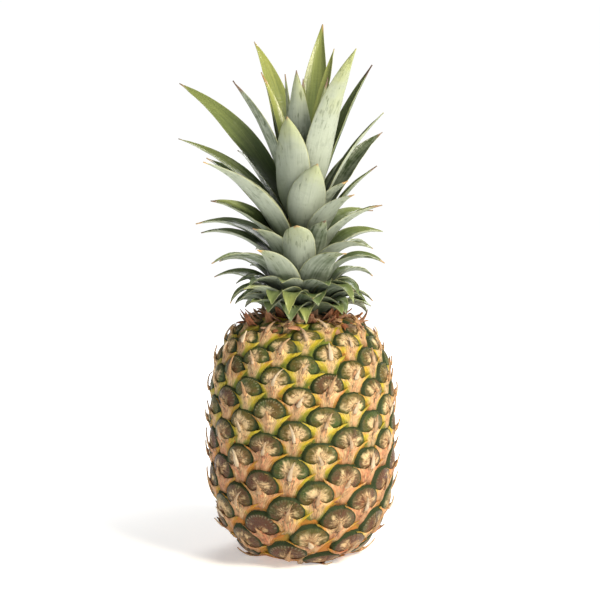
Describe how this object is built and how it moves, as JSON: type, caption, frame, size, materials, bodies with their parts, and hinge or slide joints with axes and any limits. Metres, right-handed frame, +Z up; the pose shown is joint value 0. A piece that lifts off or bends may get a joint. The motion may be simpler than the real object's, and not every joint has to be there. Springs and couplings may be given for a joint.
{
  "type": "pineapple",
  "caption": "Whole fresh pineapple standing on its base: a barrel-shaped fruit with spiral eyes, and a crown of stiff pointed leaves.",
  "frame": {"origin": "the middle of the small flat spot that the fruit stands on", "axes": "+Z up along the fruit and the crown, -Y towards the front, +X to the right seen from the front"},
  "size_m": [0.146, 0.1255, 0.3558],
  "materials": {
    "skin": "tough rind of hexagonal eyes, green rims and tan centres, with a faint waxy gloss",
    "dry_bract": "dry papery bract tips, tan to pinkish brown, matte",
    "leaf": "stiff leaf, green with a silvery wax bloom on its outer face, satin",
    "stem": "pale green fibrous stem, matte"
  },
  "bodies": {
    "root": {"fruit": "skin", "crown_stem": "stem", "leaf_01": "leaf", "leaf_02": "leaf", "leaf_03": "leaf", "leaf_04": "leaf", "leaf_05": "leaf", "leaf_06": "leaf", "leaf_07": "leaf", "leaf_08": "leaf", "leaf_09": "leaf", "leaf_10": "leaf", "leaf_11": "leaf", "leaf_12": "leaf", "leaf_13": "leaf", "leaf_14": "leaf", "leaf_15": "leaf", "leaf_16": "leaf", "leaf_17": "leaf", "leaf_18": "leaf", "leaf_19": "leaf", "leaf_20": "leaf", "leaf_21": "leaf", "leaf_22": "leaf", "leaf_23": "leaf", "leaf_24": "leaf", "leaf_25": "leaf", "leaf_26": "leaf", "leaf_27": "leaf", "leaf_28": "leaf", "leaf_29": "leaf", "leaf_30": "leaf", "leaf_31": "leaf", "leaf_32": "leaf", "leaf_33": "leaf", "leaf_34": "leaf", "leaf_35": "leaf", "leaf_36": "leaf", "leaf_37": "leaf", "leaf_38": "leaf", "leaf_39": "leaf", "leaf_40": "leaf", "leaf_41": "leaf", "leaf_42": "leaf", "leaf_43": "leaf", "leaf_44": "leaf", "leaf_45": "leaf", "leaf_46": "leaf", "leaf_47": "leaf", "leaf_48": "leaf", "leaf_49": "leaf", "leaf_50": "leaf", "leaf_51": "leaf", "leaf_52": "leaf", "leaf_53": "leaf", "leaf_54": "leaf", "leaf_55": "leaf", "leaf_56": "leaf", "leaf_57": "leaf", "leaf_58": "leaf"}
  },
  "joints": []
}
